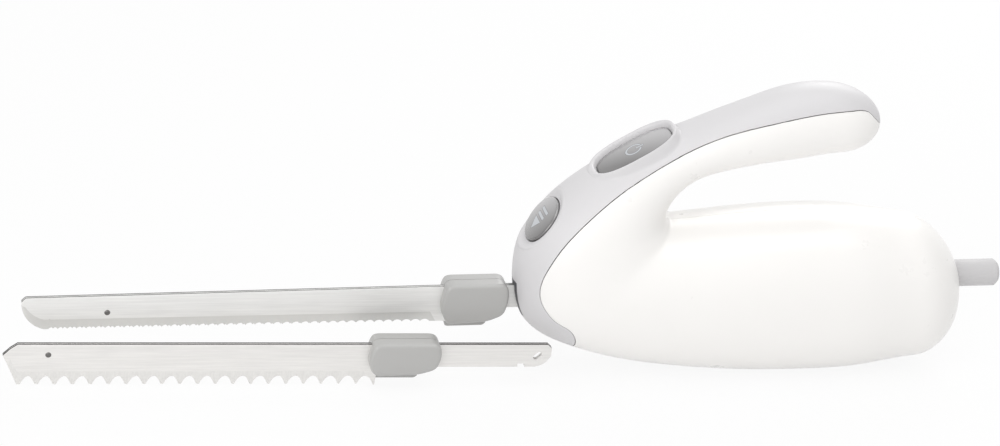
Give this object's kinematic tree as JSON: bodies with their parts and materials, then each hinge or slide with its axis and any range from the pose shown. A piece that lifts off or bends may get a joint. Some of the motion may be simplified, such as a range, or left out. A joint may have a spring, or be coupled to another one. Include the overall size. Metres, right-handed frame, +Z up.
{
  "type": "electric carving knife",
  "caption": "Corded electric carving knife with an open arched grip, push button drive, a pair of reciprocating serrated blades and a second pair for frozen food.",
  "frame": {"origin": "centre of the flat on the belly that the knife rests on, in the plane the surface makes", "axes": "+X from the blade tips towards the cord, +Z up, +Y to the user's right as the blades point away"},
  "size_m": [0.5139, 0.0702, 0.1548],
  "materials": {
    "housing_white": "warm white, soft gloss",
    "cover_grey": "light lavender grey, satin",
    "button_silver": "silver grey lacquer, glossy",
    "guard_grey": "cool mid grey, semi gloss",
    "bezel_grey": "dark grey, matt",
    "sleeve_grey": "light grey, soft",
    "blade_steel": "ground stainless steel",
    "rivet_steel": "turned",
    "gear_nylon": "natural nylon",
    "frame_nylon": "glass filled nylon",
    "shaft_steel": "ground",
    "lamination": "stacked sheet, lacquered",
    "copper_winding": "enamelled wire",
    "brass": "plain",
    "carbon": "dull",
    "black_plastic": "matt",
    "wire_sheath": "soft"
  },
  "bodies": {
    "body": {"left_housing": "housing_white", "right_housing": "housing_white", "top_cover": "cover_grey", "blade_socket_bezel": "bezel_grey", "cord_sleeve": "sleeve_grey", "cord_clamp": "black_plastic", "terminal_block": "black_plastic", "lead_wires": "wire_sheath", "housing_screws": "shaft_steel", "gearbox_frame": "frame_nylon", "wheel_axle": "shaft_steel", "motor_stator": "lamination", "field_coils": "copper_winding", "gearbox_bushes": "brass", "rear_bush": "brass", "motor_bracket": "frame_nylon", "brush_holders": "brass", "carbon_brushes": "carbon", "power_button_spring": "shaft_steel", "release_button_spring": "shaft_steel", "power_switch": "black_plastic"},
    "rotor": {"rotor_shaft": "shaft_steel", "rotor_core": "lamination", "rotor_windings": "copper_winding", "commutator": "brass", "cooling_fan": "gear_nylon"},
    "wheel": {"worm_wheel": "gear_nylon", "eccentric_discs": "gear_nylon"},
    "left_link": {"left_drive_link": "gear_nylon"},
    "right_link": {"right_drive_link": "gear_nylon"},
    "left_blade": {"left_blade": "blade_steel", "left_blade_guard": "guard_grey", "blade_rivet": "rivet_steel"},
    "right_blade": {"right_blade": "blade_steel", "right_blade_guard": "guard_grey"},
    "power_button": {"power_button": "button_silver"},
    "release_button": {"release_button": "button_silver"},
    "release_lever": {"release_lever": "frame_nylon"},
    "spare_left": {"spare_left_blade": "blade_steel", "spare_left_guard": "guard_grey", "spare_blade_rivet": "rivet_steel"},
    "spare_right": {"spare_right_blade": "blade_steel", "spare_right_guard": "guard_grey"}
  },
  "joints": [
    {"name": "rotor_spin", "type": "hinge", "parent": "body", "child": "rotor", "pos_m": [-0.06493, 0, 0.05521], "axis": [0.9998, 0, 0.0175], "range_deg": [-2160, 2160]},
    {"name": "wheel_turn", "type": "hinge", "parent": "body", "child": "wheel", "pos_m": [-0.06464, 0, 0.03891], "axis": [0, 1, 0], "range_deg": [-90, 90]},
    {"name": "left_stroke", "type": "slide", "parent": "body", "child": "left_link", "axis": [0.9998, 0, 0.0175], "range_m": [-0.003, 0.003]},
    {"name": "right_stroke", "type": "slide", "parent": "body", "child": "right_link", "axis": [0.9998, 0, 0.0175], "range_m": [-0.003, 0.003]},
    {"name": "left_blade_release", "type": "slide", "parent": "left_link", "child": "left_blade", "axis": [-0.9998, 0, -0.0175], "range_m": [0, 0.07]},
    {"name": "right_blade_release", "type": "slide", "parent": "right_link", "child": "right_blade", "axis": [-0.9998, 0, -0.0175], "range_m": [0, 0.07]},
    {"name": "power_press", "type": "slide", "parent": "body", "child": "power_button", "axis": [0.4692, 0, -0.8831], "range_m": [0, 0.002], "stiffness_N_per_m": 800},
    {"name": "release_press", "type": "slide", "parent": "body", "child": "release_button", "axis": [0.8216, 0, -0.57], "range_m": [0, 0.002], "stiffness_N_per_m": 800},
    {"name": "release_lever_tip", "type": "hinge", "parent": "body", "child": "release_lever", "pos_m": [-0.11381, 0, 0.07951], "axis": [0, -1, 0], "range_deg": [0, 14.4]},
    {"name": "spare_lift", "type": "slide", "parent": "body", "child": "spare_left", "axis": [0, -0.6, 0.8], "range_m": [0, 0.1]},
    {"name": "spare_slide", "type": "slide", "parent": "spare_left", "child": "spare_right", "axis": [0.9997, -0.0256, 0], "range_m": [-0.006, 0.006]}
  ],
  "couplings": [
    {"joint": "wheel_turn", "follows": "rotor_spin", "ratio": -0.041667},
    {"joint": "left_stroke", "follows": "rotor_spin", "m_per_rad": -0.000079577},
    {"joint": "right_stroke", "follows": "rotor_spin", "m_per_rad": 0.000079577},
    {"joint": "right_blade_release", "follows": "left_blade_release", "ratio": 1},
    {"joint": "release_lever_tip", "follows": "release_press", "rad_per_m": 125}
  ]
}
